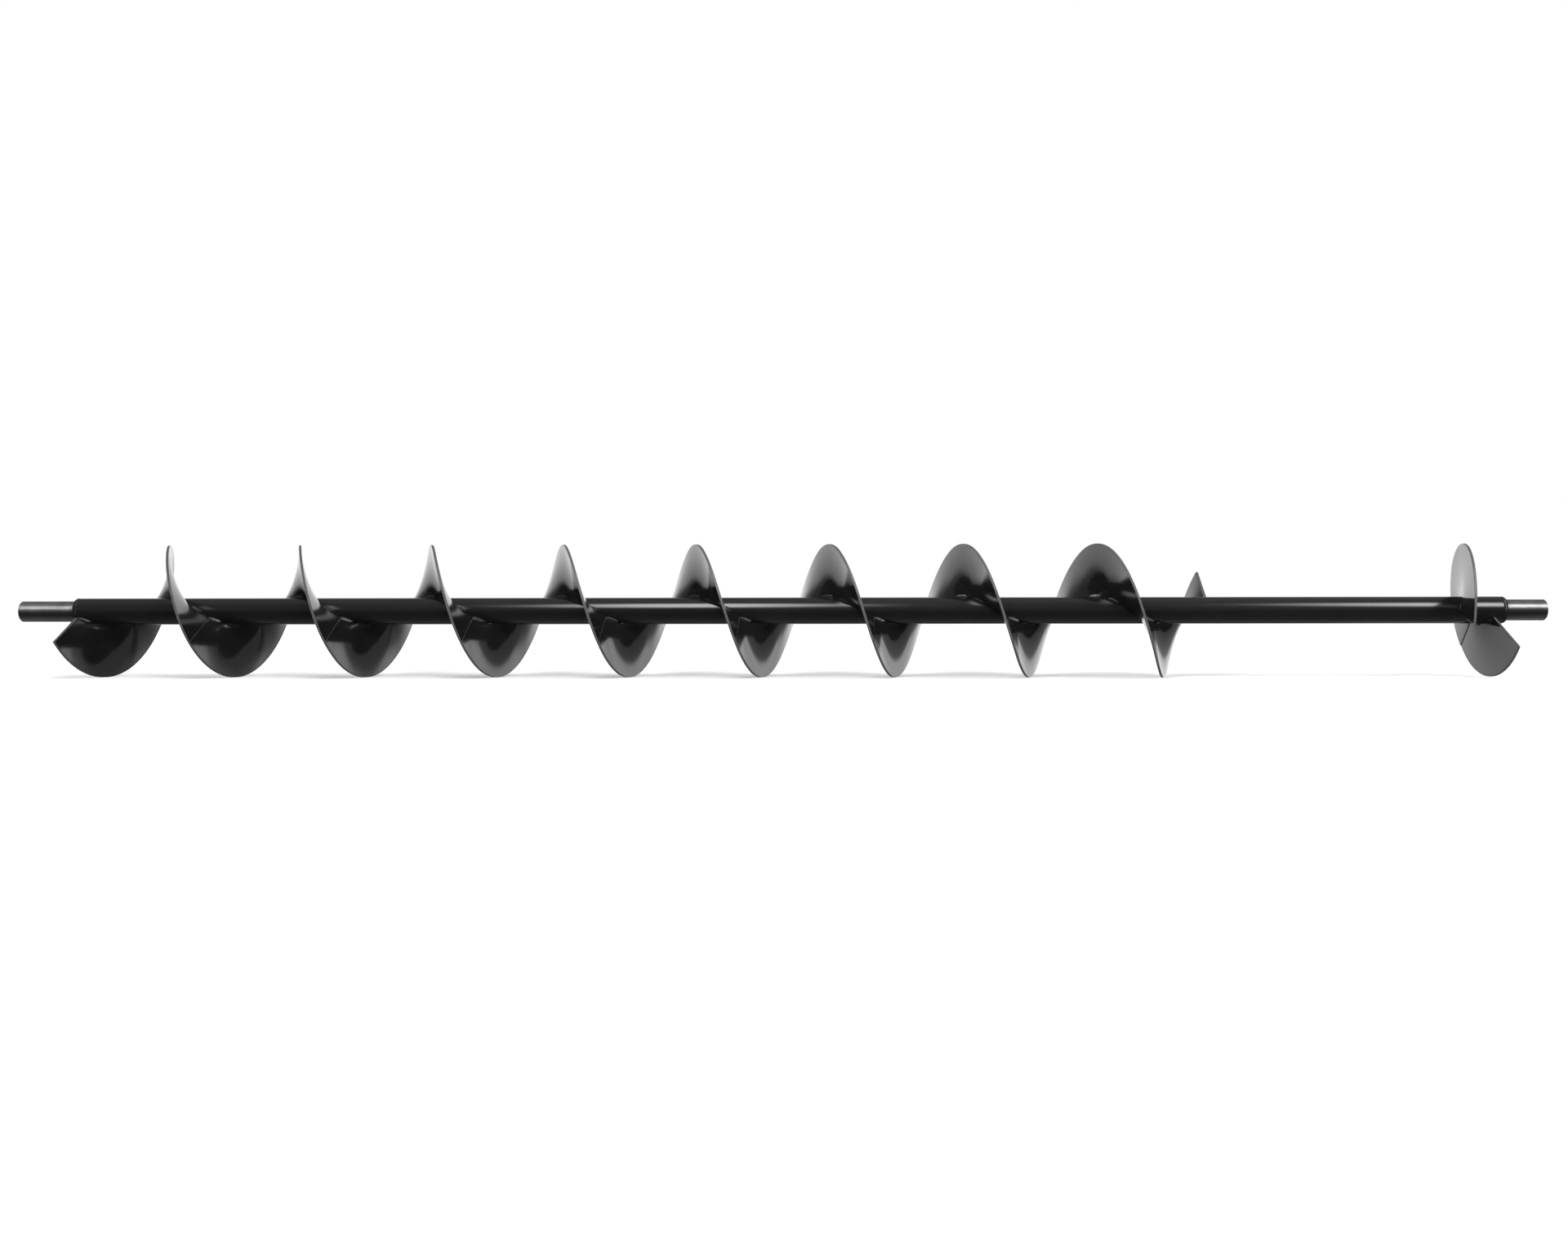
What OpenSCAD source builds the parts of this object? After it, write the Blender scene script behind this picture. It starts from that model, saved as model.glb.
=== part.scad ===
// Screw conveyor auger: a tube shaft that carries right-hand sectional
// flighting, a short left-hand counter flight near one end and a turned
// journal at each end. All of it is welded into one rigid piece.
//
// Millimetres. The shaft lies along X, its axis passes through the origin,
// and the origin is half way along the overall length. Angles run about the
// shaft from +Y (0) through +Z (90) and -Y (180) to -Z (270).

/* [Shaft] */
// Length over both journals
overall_length = 1830; // [1700:5:2400]
// Outside diameter of the centre tube
tube_od = 32; // [28:0.5:42]
// Wall thickness of the centre tube
tube_wall = 3; // [2.5:0.25:4]
// Length of the weld bevel turned on each end of the tube
tube_bevel = 3; // [1:0.5:5]
// Width of the square land left inside each bevel
tube_land = 0.5; // [0.25:0.25:1]

/* [Journals] */
// Diameter of the bearing journals
journal_d = 25; // [16:0.5:25.5]
// Length of the left journal, from the tube's end
left_journal_length = 70; // [30:1:120]
// Length of the right journal, from the tube's end
right_journal_length = 50; // [30:1:120]
// Length of each journal's plug inside the tube
plug_length = 60; // [20:1:120]
// Length of the plug that stands out of the tube, under the end weld
plug_collar = 1.5; // [0.5:0.25:4]
// Chamfer on both ends of each journal
journal_chamfer = 1; // [0.5:0.25:2]
// Mouth of the 60 degree centre turned into each journal's end face
centre_mouth_d = 7; // [4:0.5:10]
// Bottom of that centre
centre_bottom_d = 2.5; // [1.5:0.5:3.5]

/* [Flighting] */
// Outside diameter of the main flighting
flight_od = 160; // [100:1:240]
// Advance of the main flighting in one turn
flight_pitch = 160; // [110:1:164]
// Thickness of the flight sheet, square to its faces
flight_thickness = 3; // [2:0.25:5]
// Number of whole one-turn sections
full_sections = 8; // [2:1:8]
// Angle covered by the last, cut section
last_section_angle = 190; // [60:5:350]
// Advance in one turn of the last, cut section
last_section_pitch = 156; // [110:1:164]
// Distance from the tube's end to the middle of the sheet's first edge
flight_inset = 3.5; // [3:0.5:40]
// Angle of the sheet's first edge about the shaft
flight_start_angle = 206.25; // [0:3.75:356.25]

/* [Counter flight] */
// Outside diameter of the counter flight
counter_od = 158; // [100:1:240]
// Distance from the tube's end to the rim's middle at the sheet's last edge
counter_inset = 7.5; // [6:0.5:40]
// Angle of the sheet's last edge about the shaft
counter_end_angle = 212; // [0:1:359]
// Angle covered by the outer section, next to the tube's end
counter_outer_angle = 114; // [60:1:170]
// Advance in one turn of the outer section
counter_outer_pitch = 40; // [0:1:60]
// Distance by which the outer section's rim stands past its middle, as on a dish
counter_outer_dish = 8; // [0:0.5:12]
// Angle covered by the inner section
counter_inner_angle = 226; // [90:1:240]
// Advance in one turn of the inner section
counter_inner_pitch = 25; // [0:1:120]
// Lean of the inner section's rim, towards +X at the shaft's back
counter_inner_tilt = 10; // [0:0.5:15]
// Distance by which the inner section's first edge is bent towards the outer one
counter_inner_bend = 7.5; // [0:0.5:12]
// Step between the two sections' rims where they meet
counter_step = 0.8; // [0:0.1:2.5]

/* [Welds] */
// Leg of the stitch welds up the sheet, along the roots of the flights
stitch_leg = 4; // [2:0.5:6]
// Leg of the stitch welds on the tube, square to the sheet
stitch_toe = 3; // [1.5:0.5:5]

/* [Hidden] */
black_paint = [0.07, 0.07, 0.075];
turned_steel = [0.74, 0.75, 0.76];
$fn = 96;

// Sweep resolution: a flat of the rim lies at the bottom, so the auger can
// rest on it.
steps_per_turn = 48;
rings_across = 2;

// Angle over which the counter flight's inner section is bent at its first edge.
bend_angle = 90;

tube_r = tube_od / 2;
bore_r = tube_r - tube_wall;
journal_r = journal_d / 2;
centre_depth = (centre_mouth_d - centre_bottom_d) / 2 / tan(30);
tube_left = -overall_length / 2 + left_journal_length;
tube_right = overall_length / 2 - right_journal_length;

// A section of flighting is [x, angle, span, pitch, od, tilt, dish, bend]: x and
// angle place the rim's middle at its first edge, and span is the angle it
// covers. A negative pitch makes it left-handed. tilt leans it like a flat plate,
// by so much at the rim, towards +X at the back. dish sets the shaft's axis so
// much further to -X than the rim. bend pulls its first edge towards +X.
main_sections = [
    for (i = [0 : full_sections]) [
        tube_left + flight_inset + i * flight_pitch,
        flight_start_angle,
        i < full_sections ? 360 : last_section_angle,
        i < full_sections ? flight_pitch : last_section_pitch,
        flight_od,
        0,
        0,
        0
    ]
];
counter_outer = [
    tube_right - counter_inset,
    counter_end_angle,
    counter_outer_angle,
    -counter_outer_pitch,
    counter_od,
    0,
    counter_outer_dish,
    0
];
counter_inner = [
    middle_x(counter_outer, counter_outer_angle, counter_od / 2) - counter_step,
    counter_end_angle + counter_outer_angle,
    counter_inner_angle,
    -counter_inner_pitch,
    counter_od,
    counter_inner_tilt,
    0,
    counter_inner_bend
];
counter_sections = [counter_outer, counter_inner];

// Stitch welds are [first step, number of steps] along a section: one list
// for the face towards +X and one for the face towards -X.
stitches_plus = [[0, 3], [5, 4], [18, 4], [30, 4], [41, 4]];
stitches_minus = [[10, 4], [22, 4], [31, 4], [37, 4]];
counter_stitches_plus = [[1, 4], [17, 4]];
counter_stitches_minus = [[1, 4], [9, 4], [25, 4]];

FLIGHTS = [for (i = [0 : full_sections]) str("flight_", i + 1)];

// ---- geometry of a flight section ----

function section_steps(s) = max(2, round(s[2] * steps_per_turn / 360));
function step_angle(s) = s[2] / section_steps(s);

// The flats of the root touch the tube, whose surface is a true cylinder.
function root_r(s) = tube_r / cos(step_angle(s) / 2);

// X of the sheet's mid surface at radius r, turned so far from its first edge.
function middle_x(s, turned, r) =
    let (tilt = s[5], dish = s[6], bend = s[7], rim = s[4] / 2)
    s[0] + s[3] * turned / 360
        + tilt * (r / rim * cos(s[1] + turned) - cos(s[1]))
        + dish * (r / rim - 1)
        + bend * (pow(max(0, 1 - turned / bend_angle), 2) - 1);

// Length along the shaft, at radius r, of 1 mm square to the sheet's faces.
function along(s, r) =
    sqrt(1 + pow(s[3] / (2 * PI * r), 2) + pow((abs(s[5]) + s[6]) / (s[4] / 2), 2));

// Half of the sheet's width along the shaft at radius r, which keeps its
// thickness the same square to its faces.
function half_sheet(s, r) = flight_thickness / 2 * along(s, r);

// A point at radius r, k steps along section s and dx from its mid surface.
function flight_point(s, k, r, dx) =
    let (turned = k * step_angle(s), angle = s[1] + turned)
    [middle_x(s, turned, r) + dx, r * cos(angle), r * sin(angle)];

function flight_radii(s) =
    let (inner = root_r(s) + stitch_leg, rim = s[4] / 2)
    concat(
        [root_r(s)],
        [for (j = [0 : rings_across]) inner + (rim - inner) * j / rings_across]
    );

function flight_ring(s, k) =
    let (radii = flight_radii(s), last = len(radii) - 1)
    concat(
        [for (j = [0 : last]) flight_point(s, k, radii[j], -half_sheet(s, radii[j]))],
        [for (j = [last : -1 : 0]) flight_point(s, k, radii[j], half_sheet(s, radii[j]))]
    );

// A stitch weld's ring on one face of the sheet: root corner, top of the leg
// on the sheet, crown and toe on the tube. swell is 1 in the middle of a weld.
function stitch_ring(s, k, side, swell) =
    let (
        r = root_r(s),
        crown = 0.6 * stitch_leg,
        reach = stitch_toe * swell,
        corner = flight_point(s, k, r, side * half_sheet(s, r)),
        top = flight_point(s, k, r + stitch_leg, side * half_sheet(s, r + stitch_leg)),
        bulge = flight_point(
            s, k, r + crown, side * (half_sheet(s, r + crown) + 0.6 * reach * along(s, r + crown))
        ),
        toe = flight_point(s, k, r, side * (half_sheet(s, r) + reach * along(s, r)))
    )
    side > 0 ? [corner, top, bulge, toe] : [toe, bulge, top, corner];

// Triangles that skin a row of rings and close both ends. The two ways of
// splitting a quad let a weld lie on a sheet facet for facet.
module skin(rings, other_way = false) {
    size = len(rings[0]);
    last = len(rings) - 1;
    sides = [
        for (i = [0 : last - 1], j = [0 : size - 1])
        let (
            next = (j + 1) % size,
            a = i * size + j,
            b = i * size + next,
            c = b + size,
            d = a + size
        )
        each (other_way ? [[a, b, d], [b, c, d]] : [[a, b, c], [a, c, d]])
    ];
    first_end = [for (j = [size - 1 : -1 : 0]) j];
    last_end = [for (j = [0 : size - 1]) last * size + j];
    polyhedron([for (ring = rings) each ring], concat(sides, [first_end, last_end]));
}

module flight_section(s) {
    // A left-handed section runs the other way along X, but its rings still
    // turn the same way about the shaft, so the skin needs no change.
    color(black_paint) skin([for (k = [0 : section_steps(s)]) flight_ring(s, k)]);
}

module stitches(s, list, side) {
    for (stitch = list) {
        first = stitch[0];
        count = stitch[1];
        if (first + count <= section_steps(s))
            skin(
                [for (k = [0 : count]) stitch_ring(s, first + k, side, k == 0 || k == count ? 0.6 : 1)],
                other_way = true
            );
    }
}

module along_shaft() {
    rotate([0, 90, 0]) children();
}

// ---- nodes ----

module centre_tube() {
    color(black_paint) along_shaft() rotate_extrude() polygon([
        [bore_r, tube_left],
        [bore_r + tube_land, tube_left],
        [tube_r, tube_left + tube_bevel],
        [tube_r, tube_right - tube_bevel],
        [bore_r + tube_land, tube_right],
        [bore_r, tube_right]
    ]);
}

// A stub shaft that points along +X from the tube's end at x = 0: the bearing
// journal, then the thicker plug that is pressed into the tube's bore.
module journal(length) {
    color(turned_steel) along_shaft() rotate_extrude() polygon([
        [0, -plug_length],
        [bore_r - journal_chamfer, -plug_length],
        [bore_r, -plug_length + journal_chamfer],
        [bore_r, plug_collar],
        [journal_r, plug_collar],
        [journal_r, length - journal_chamfer],
        [journal_r - journal_chamfer, length],
        [centre_mouth_d / 2, length],
        [centre_bottom_d / 2, length - centre_depth],
        [0, length - centre_depth]
    ]);
}

// The ring weld that fills the bevel and runs down on to the plug's collar.
module end_weld() {
    from = [tube_r, -tube_bevel];
    to = [bore_r, plug_collar];
    pull = [tube_r, plug_collar / 2];
    crown = [
        for (i = [0 : 8])
        let (t = i / 8)
        pow(1 - t, 2) * from + 2 * t * (1 - t) * pull + t * t * to
    ];
    color(black_paint) along_shaft() rotate_extrude()
        polygon(concat([[bore_r, 0], [bore_r + tube_land, 0]], crown));
}

module at_left_end() {
    translate([tube_left, 0, 0]) mirror([1, 0, 0]) children();
}

module at_right_end() {
    translate([tube_right, 0, 0]) children();
}

module flight_stitch_welds() {
    color(black_paint) for (s = main_sections) {
        stitches(s, stitches_plus, 1);
        stitches(s, stitches_minus, -1);
    }
}

module counter_stitch_welds() {
    color(black_paint) for (s = counter_sections) {
        stitches(s, counter_stitches_plus, 1);
        stitches(s, counter_stitches_minus, -1);
    }
}

centre_tube();
at_left_end() journal(left_journal_length);  // left_journal
at_right_end() journal(right_journal_length);  // right_journal
at_left_end() end_weld();  // left_end_weld
at_right_end() end_weld();  // right_end_weld
for (i = [0 : full_sections])
    flight_section(main_sections[i]);
flight_section(counter_inner);  // counter_flight_inner
flight_section(counter_outer);  // counter_flight_outer
flight_stitch_welds();
counter_stitch_welds();
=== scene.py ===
import math

import bmesh
import bpy
from mathutils import Matrix, Vector


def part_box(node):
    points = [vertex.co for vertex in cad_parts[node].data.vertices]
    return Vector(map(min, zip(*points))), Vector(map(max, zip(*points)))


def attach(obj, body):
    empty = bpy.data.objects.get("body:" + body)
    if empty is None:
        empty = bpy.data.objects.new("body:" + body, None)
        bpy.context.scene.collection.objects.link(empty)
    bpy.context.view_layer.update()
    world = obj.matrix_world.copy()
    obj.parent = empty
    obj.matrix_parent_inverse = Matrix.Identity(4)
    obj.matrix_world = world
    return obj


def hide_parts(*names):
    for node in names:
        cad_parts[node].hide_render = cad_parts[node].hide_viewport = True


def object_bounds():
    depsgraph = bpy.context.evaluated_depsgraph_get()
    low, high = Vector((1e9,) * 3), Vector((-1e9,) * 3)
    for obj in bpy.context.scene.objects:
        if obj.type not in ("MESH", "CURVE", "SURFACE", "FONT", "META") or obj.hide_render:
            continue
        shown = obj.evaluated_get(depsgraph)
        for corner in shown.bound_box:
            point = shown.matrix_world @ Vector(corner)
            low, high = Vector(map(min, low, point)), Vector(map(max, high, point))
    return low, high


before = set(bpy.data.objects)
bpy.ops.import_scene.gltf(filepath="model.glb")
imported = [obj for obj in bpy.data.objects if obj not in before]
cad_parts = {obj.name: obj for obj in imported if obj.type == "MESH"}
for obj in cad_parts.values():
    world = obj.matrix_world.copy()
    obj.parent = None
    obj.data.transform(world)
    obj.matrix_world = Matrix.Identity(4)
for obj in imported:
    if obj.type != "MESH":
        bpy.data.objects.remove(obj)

# Metres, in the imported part's own frame: the shaft lies along X and its axis
# passes through the origin. Angles turn about the shaft from +Y through +Z.

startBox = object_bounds()
tubeLow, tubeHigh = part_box("centre_tube")
print("stage 1: the packed part is loaded")


class Number:
    # A number worked out by a node tree, so that a formula reads as one.

    def __init__(self, tree, socket):
        self.tree = tree
        self.socket = socket

    def apply(self, operation, *others):
        node = self.tree.nodes.new("ShaderNodeMath")
        node.operation = operation
        for place, value in zip(node.inputs, (self,) + others):
            feed(self.tree, value, place)
        return Number(self.tree, node.outputs[0])

    def __add__(self, other):
        return self.apply("ADD", other)

    def __sub__(self, other):
        return self.apply("SUBTRACT", other)

    def __mul__(self, other):
        return self.apply("MULTIPLY", other)

    def __truediv__(self, other):
        return self.apply("DIVIDE", other)

    def squared(self):
        return self.apply("MULTIPLY", self)

    def root(self):
        return self.apply("SQRT")

    def sine(self):
        return self.apply("SINE")

    def cosine(self):
        return self.apply("COSINE")


def feed(tree, value, place):
    # Links a number or a socket to an input, or writes a plain value there.
    if isinstance(value, Number):
        value = value.socket
    if isinstance(value, bpy.types.NodeSocket):
        tree.links.new(value, place)
    elif value is not None:
        place.default_value = value


def addNode(tree, kind, settings=None, **inputs):
    # Input names are given with underscores for their spaces.
    node = tree.nodes.new(kind)
    for name, value in (settings or {}).items():
        setattr(node, name, value)
    for name, value in inputs.items():
        feed(tree, value, node.inputs[name.replace("_", " ")])
    return node


def smoothStep(tree, value, low, high):
    step = addNode(
        tree, "ShaderNodeMapRange", {"interpolation_type": "SMOOTHSTEP"},
        Value=value, From_Min=low, From_Max=high,
    )
    return Number(tree, step.outputs["Result"])


def newTree(name, kind, inputs, outputs):
    # Makes a node group with named inputs and returns it with its two ends.
    tree = bpy.data.node_groups.new(name, kind)
    for label, (socketKind, value) in inputs.items():
        socket = tree.interface.new_socket(label, in_out="INPUT", socket_type=socketKind)
        if value is not None:
            socket.default_value = value
    for label, socketKind in outputs.items():
        tree.interface.new_socket(label, in_out="OUTPUT", socket_type=socketKind)
    return tree, tree.nodes.new("NodeGroupInput"), tree.nodes.new("NodeGroupOutput")


floatSocket = "NodeSocketFloat"
vectorSocket = "NodeSocketVector"


skinLook = {
    # Nibs to a metre, and the share of its cell that each one fills.
    "nibScale": 90.0,
    "nibSize": 0.05,
    "peelDetail": 1.5,
    "sagDetail": 1.0,
    # Soft clouds over the film, and how far they move its roughness and tone.
    "cloudScale": 14.0,
    "cloudDetail": 3.0,
    "cloudRoughness": 0.06,
    "cloudTone": 0.5,
}


def buildPaintSkin():
    # Sprayed enamel: a fine orange peel, broad soft sags and a few dust nibs.
    tree, given, result = newTree(
        "paintSkin",
        "ShaderNodeTree",
        {
            "Peel Size": (floatSocket, 0.003),
            "Peel Depth": (floatSocket, 0.00002),
            "Sag Size": (floatSocket, 0.03),
            "Sag Depth": (floatSocket, 0.0001),
            "Nib Depth": (floatSocket, 0.00005),
            "Base Roughness": (floatSocket, 0.12),
        },
        {"Roughness": floatSocket, "Tone": floatSocket, "Normal": vectorSocket},
    )
    place = addNode(tree, "ShaderNodeTexCoord").outputs["Object"]
    peelScale = Number(tree, given.outputs["Peel Size"]).apply("POWER", -1.0)
    sagScale = Number(tree, given.outputs["Sag Size"]).apply("POWER", -1.0)
    peel = addNode(
        tree, "ShaderNodeTexNoise", Vector=place, Scale=peelScale, Detail=skinLook["peelDetail"]
    )
    sag = addNode(
        tree, "ShaderNodeTexNoise", Vector=place, Scale=sagScale, Detail=skinLook["sagDetail"]
    )
    cells = addNode(
        tree, "ShaderNodeTexVoronoi", Vector=place, Scale=skinLook["nibScale"], Randomness=1.0
    )
    nib = addNode(
        tree, "ShaderNodeMapRange", {"interpolation_type": "SMOOTHSTEP"},
        Value=cells.outputs["Distance"], From_Min=0.0, From_Max=skinLook["nibSize"],
        To_Min=1.0, To_Max=0.0,
    )
    bump = addNode(
        tree, "ShaderNodeBump", Strength=1.0, Distance=given.outputs["Sag Depth"],
        Height=sag.outputs["Fac"],
    )
    bump = addNode(
        tree, "ShaderNodeBump", Strength=1.0, Distance=given.outputs["Peel Depth"],
        Height=peel.outputs["Fac"], Normal=bump.outputs["Normal"],
    )
    bump = addNode(
        tree, "ShaderNodeBump", Strength=1.0, Distance=given.outputs["Nib Depth"],
        Height=nib.outputs["Result"], Normal=bump.outputs["Normal"],
    )
    clouds = addNode(
        tree, "ShaderNodeTexNoise", Vector=place,
        Scale=skinLook["cloudScale"], Detail=skinLook["cloudDetail"],
    )
    cloud = Number(tree, clouds.outputs["Fac"])
    rough = cloud * skinLook["cloudRoughness"] + given.outputs["Base Roughness"]
    rough = rough - skinLook["cloudRoughness"] / 2
    tone = cloud * skinLook["cloudTone"] + (1 - skinLook["cloudTone"] / 2)
    feed(tree, rough, result.inputs["Roughness"])
    feed(tree, tone, result.inputs["Tone"])
    feed(tree, bump.outputs["Normal"], result.inputs["Normal"])
    return tree


paintSkin = buildPaintSkin()

blackEnamel = {
    "color": (0.0085, 0.0085, 0.0088, 1.0),
    "specular": 0.5,
    "tube": {"peel": 0.000008, "sag": 0.00002, "roughness": 0.16},
    "sheet": {"peel": 0.000010, "sag": 0.00012, "roughness": 0.12},
    "weld": {"peel": 0.00002, "sag": 0.00002, "roughness": 0.22},
}
# The lighter grey on the rough-cut edges is a painted highlight for the light they catch. Their
# roughness and grain are the real cut finish.
cutEdge = {
    "color": (0.085, 0.085, 0.086, 1.0),
    "roughness": 0.5,
    "grainSize": 0.0012,
    "grainDepth": 0.00008,
    "grainDetail": 2.0,
}


def newMaterial(name):
    material = bpy.data.materials.new(name)
    material.use_nodes = True
    tree = material.node_tree
    return material, tree, tree.nodes["Principled BSDF"]


def addPaintSkin(tree, shader, film):
    # Links the enamel skin to a shader and returns its colour, roughness and normal.
    skin = addNode(
        tree, "ShaderNodeGroup", {"node_tree": paintSkin},
        Peel_Depth=film["peel"], Sag_Depth=film["sag"], Base_Roughness=film["roughness"],
    )
    tint = addNode(tree, "ShaderNodeMix", {"data_type": "RGBA", "blend_type": "MULTIPLY"})
    tint.inputs["Factor"].default_value = 1.0
    tint.inputs[6].default_value = blackEnamel["color"]
    feed(tree, skin.outputs["Tone"], tint.inputs[7])
    feed(tree, tint.outputs[2], shader.inputs["Base Color"])
    feed(tree, skin.outputs["Roughness"], shader.inputs["Roughness"])
    feed(tree, skin.outputs["Normal"], shader.inputs["Normal"])
    shader.inputs["Specular IOR Level"].default_value = blackEnamel["specular"]
    return tint.outputs[2], skin.outputs["Roughness"], skin.outputs["Normal"]


def makeTubePaint():
    # Black gloss enamel on the smooth drawn tube.
    material, tree, shader = newMaterial("tubePaint")
    addPaintSkin(tree, shader, blackEnamel["tube"])
    return material


def makeSheetPaint():
    # Black gloss enamel on the flight sheet. Its rough-cut edges are rough and grainy, and their
    # lighter grey is a painted highlight for the light the sheet edges catch.
    material, tree, shader = newMaterial("sheetPaint")
    color, roughness, normal = addPaintSkin(tree, shader, blackEnamel["sheet"])
    edge = addNode(tree, "ShaderNodeAttribute", {"attribute_name": "cutEdge"}).outputs["Fac"]
    place = addNode(tree, "ShaderNodeTexCoord").outputs["Object"]
    grain = addNode(
        tree, "ShaderNodeTexNoise", Vector=place, Scale=1 / cutEdge["grainSize"],
        Detail=cutEdge["grainDetail"],
    )
    # Painted highlight: the cut edges take the lighter grey over the enamel.
    mix = addNode(tree, "ShaderNodeMix", {"data_type": "RGBA"}, Factor=edge)
    feed(tree, color, mix.inputs[6])
    mix.inputs[7].default_value = cutEdge["color"]
    feed(tree, mix.outputs[2], shader.inputs["Base Color"])
    dull = Number(tree, edge) * (Number(tree, roughness) * -1.0 + cutEdge["roughness"])
    feed(tree, dull + roughness, shader.inputs["Roughness"])
    bump = addNode(
        tree, "ShaderNodeBump", Strength=edge, Distance=cutEdge["grainDepth"],
        Height=grain.outputs["Fac"], Normal=normal,
    )
    feed(tree, bump.outputs["Normal"], shader.inputs["Normal"])
    return material


def makeWeldPaint():
    # Black gloss enamel over the weld beads.
    material, tree, shader = newMaterial("weldPaint")
    addPaintSkin(tree, shader, blackEnamel["weld"])
    return material


turnedSteel = {
    "light": (0.50, 0.50, 0.495, 1.0),
    "dark": (0.38, 0.376, 0.37, 1.0),
    "ringSize": 0.0005,
    "ringDepth": 0.00002,
    "ringDetail": 2.0,
    "acrossScale": 6.0,
    "stainScale": 60.0,
    "stainDetail": 5.0,
    # A mask mixes the two colours between these two levels. This share of it is
    # stain, and the rest is tool rings.
    "stainShare": 0.65,
    "mixFrom": 0.38,
    "mixTo": 0.58,
    "roughness": 0.52,
    "stainRoughness": 0.14,
    # How far the streak spreads across the tool rings, and its quarter turn.
    "spread": 1.0,
    "spreadTurn": 0.25,
}


def makeTurnedSteel():
    # Turned steel: fine tool rings round the shaft and a little oil staining.
    material, tree, shader = newMaterial("turnedSteel")
    place = addNode(tree, "ShaderNodeTexCoord").outputs["Object"]
    stretch = addNode(tree, "ShaderNodeMapping", Vector=place)
    stretch.inputs["Scale"].default_value = (
        1 / turnedSteel["ringSize"], turnedSteel["acrossScale"], turnedSteel["acrossScale"],
    )
    rings = addNode(
        tree, "ShaderNodeTexNoise", Vector=stretch.outputs["Vector"], Scale=1.0,
        Detail=turnedSteel["ringDetail"],
    )
    stains = addNode(
        tree, "ShaderNodeTexNoise", Vector=place,
        Scale=turnedSteel["stainScale"], Detail=turnedSteel["stainDetail"],
    )
    stain = Number(tree, stains.outputs["Fac"])
    share = turnedSteel["stainShare"]
    mask = Number(tree, rings.outputs["Fac"]) * (1 - share) + stain * share
    mix = addNode(
        tree, "ShaderNodeMix", {"data_type": "RGBA"},
        Factor=smoothStep(tree, mask, turnedSteel["mixFrom"], turnedSteel["mixTo"]),
    )
    mix.inputs[6].default_value = turnedSteel["dark"]
    mix.inputs[7].default_value = turnedSteel["light"]
    feed(tree, mix.outputs[2], shader.inputs["Base Color"])
    change = turnedSteel["stainRoughness"]
    rough = stain * change + (turnedSteel["roughness"] - change / 2)
    feed(tree, rough, shader.inputs["Roughness"])
    bump = addNode(
        tree, "ShaderNodeBump", Strength=1.0, Distance=turnedSteel["ringDepth"],
        Height=rings.outputs["Fac"],
    )
    feed(tree, bump.outputs["Normal"], shader.inputs["Normal"])
    groove = addNode(tree, "ShaderNodeTangent", {"direction_type": "RADIAL", "axis": "X"})
    feed(tree, groove.outputs["Tangent"], shader.inputs["Tangent"])
    shader.inputs["Metallic"].default_value = 1.0
    shader.inputs["Anisotropic"].default_value = turnedSteel["spread"]
    shader.inputs["Anisotropic Rotation"].default_value = turnedSteel["spreadTurn"]
    return material


tubePaint = makeTubePaint()
sheetPaint = makeSheetPaint()
weldPaint = makeWeldPaint()
steel = makeTurnedSteel()
print("stage 2: materials are made")

sheet = {
    "thickness": 0.003,
    "pitch": 0.160,
    "rimRadius": 0.080,
    "startAngle": math.radians(206.25),
    "startX": tubeLow.x + 0.0035,
    "fullSections": 8,
    "lastSpan": math.radians(190),
    "lastPitch": 0.156,
    "stepsPerTurn": 144,
    "ringsAcross": 12,
    "edgeRound": 0.0005,
    "waveHeight": 0.0005,
    "waveSize": 0.07,
}

# The counter flight's outer section is dished. Its inner one leans like a flat
# plate, with its first edge bent towards the outer one.
counterSheet = {
    "rimRadius": 0.079,
    "endX": tubeHigh.x - 0.0075,
    "endAngle": math.radians(212),
    "outerSpan": math.radians(114),
    "outerPitch": 0.040,
    "outerDish": 0.008,
    "innerSpan": math.radians(226),
    "innerPitch": 0.025,
    "innerTilt": 0.010,
    "innerBend": 0.0075,
    "bendSpan": math.radians(90),
    "step": 0.0008,
}


def givenNumbers(tree, given):
    # The named inputs of a tree, ready for formulas.
    return {socket.name: Number(tree, socket) for socket in given.outputs if socket.name}


def placeOnHelix(tree, radius, turned, alongX, values):
    # A vector at the given radius, turned about the shaft from the start angle.
    angle = values["Start Angle"] + turned
    lean = radius / values["Rim Radius"] * angle.cosine() - values["Start Angle"].cosine()
    left = (turned / values["Bend Span"] * -1.0 + 1.0).apply("MAXIMUM", 0.0)
    x = values["Start X"] + values["Pitch"] * turned / math.tau + values["Tilt"] * lean
    x = x + values["Dish"] * (radius / values["Rim Radius"] - 1.0)
    x = x + values["Bend"] * (left.squared() - 1.0) + alongX
    spot = addNode(tree, "ShaderNodeCombineXYZ")
    feed(tree, x, spot.inputs[0])
    feed(tree, radius * angle.cosine(), spot.inputs[1])
    feed(tree, radius * angle.sine(), spot.inputs[2])
    return spot.outputs[0]


def alongShaft(radius, values):
    # Length along the shaft for a unit square to the sheet, more where it is steep.
    slope = values["Pitch"] / (radius * math.tau)
    lean = (values["Tilt"].apply("ABSOLUTE") + values["Dish"]) / values["Rim Radius"]
    return (slope.squared() + lean.squared() + 1.0).root()


def finishTree(tree, geometry, values, result):
    shaded = addNode(tree, "GeometryNodeSetShadeSmooth", Geometry=geometry)
    realised = addNode(tree, "GeometryNodeRealizeInstances", Geometry=shaded.outputs[0])
    painted = addNode(tree, "GeometryNodeSetMaterial", Geometry=realised.outputs[0])
    feed(tree, values["Material"], painted.inputs["Material"])
    feed(tree, painted.outputs[0], result.inputs["Geometry"])


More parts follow.
